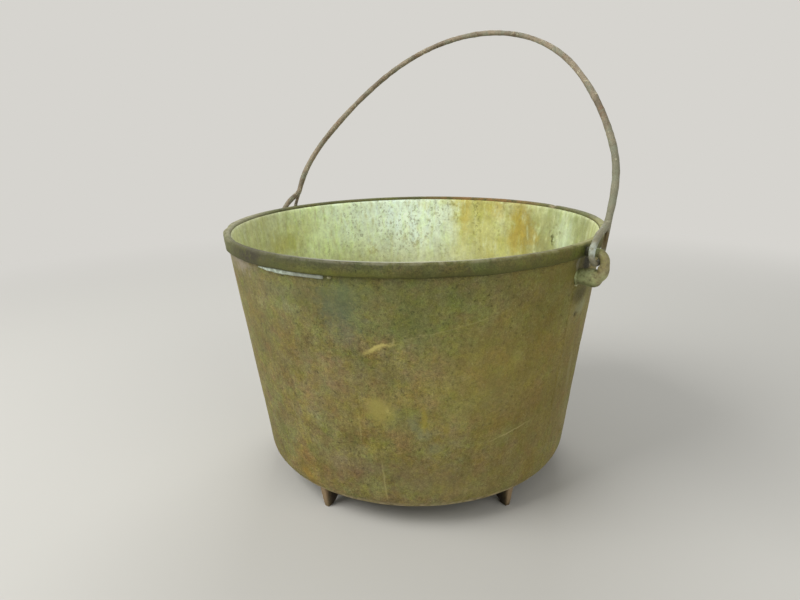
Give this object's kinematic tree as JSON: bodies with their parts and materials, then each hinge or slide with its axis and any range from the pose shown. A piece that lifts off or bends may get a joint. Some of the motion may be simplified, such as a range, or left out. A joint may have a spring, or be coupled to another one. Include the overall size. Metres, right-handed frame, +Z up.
{
  "type": "footed cast-iron kettle",
  "caption": "Tapered, flat-bottomed cast-iron kettle with a banded rim, loop ears, fin feet, a worn pale lining and a swinging rod bail for hanging or carrying it.",
  "frame": {"origin": "centre of the kettle on the ground, under its feet", "axes": "+Z up; +X through the right ear, along the bail's hinge axis; +Y towards the side that the bail leans to"},
  "size_m": [0.3392, 0.305, 0.358],
  "materials": {
    "cast_iron": "old cast iron with an olive-brown patina, pitted and scuffed",
    "rim_iron": "darker cast iron, worn lighter along its edges",
    "pale_lining": "pale grey-green lining, stained and streaked with rust",
    "rod_iron": "rusty brown-grey wrought rod"
  },
  "bodies": {
    "kettle": {"kettle_wall": "cast_iron", "kettle_floor": "cast_iron", "rim_band": "rim_iron", "lining": "pale_lining", "right_ear": "cast_iron", "left_ear": "cast_iron", "right_seam": "cast_iron", "left_seam": "cast_iron", "front_left_foot": "cast_iron", "front_right_foot": "cast_iron", "back_right_foot": "cast_iron", "back_left_foot": "cast_iron"},
    "bail": {"bail": "rod_iron"}
  },
  "joints": [
    {"name": "bail_hinge", "type": "hinge", "parent": "kettle", "child": "bail", "pos_m": [0, 0, 0.2], "axis": [1, 0, 0], "range_deg": [-99.5, 162.5]}
  ]
}
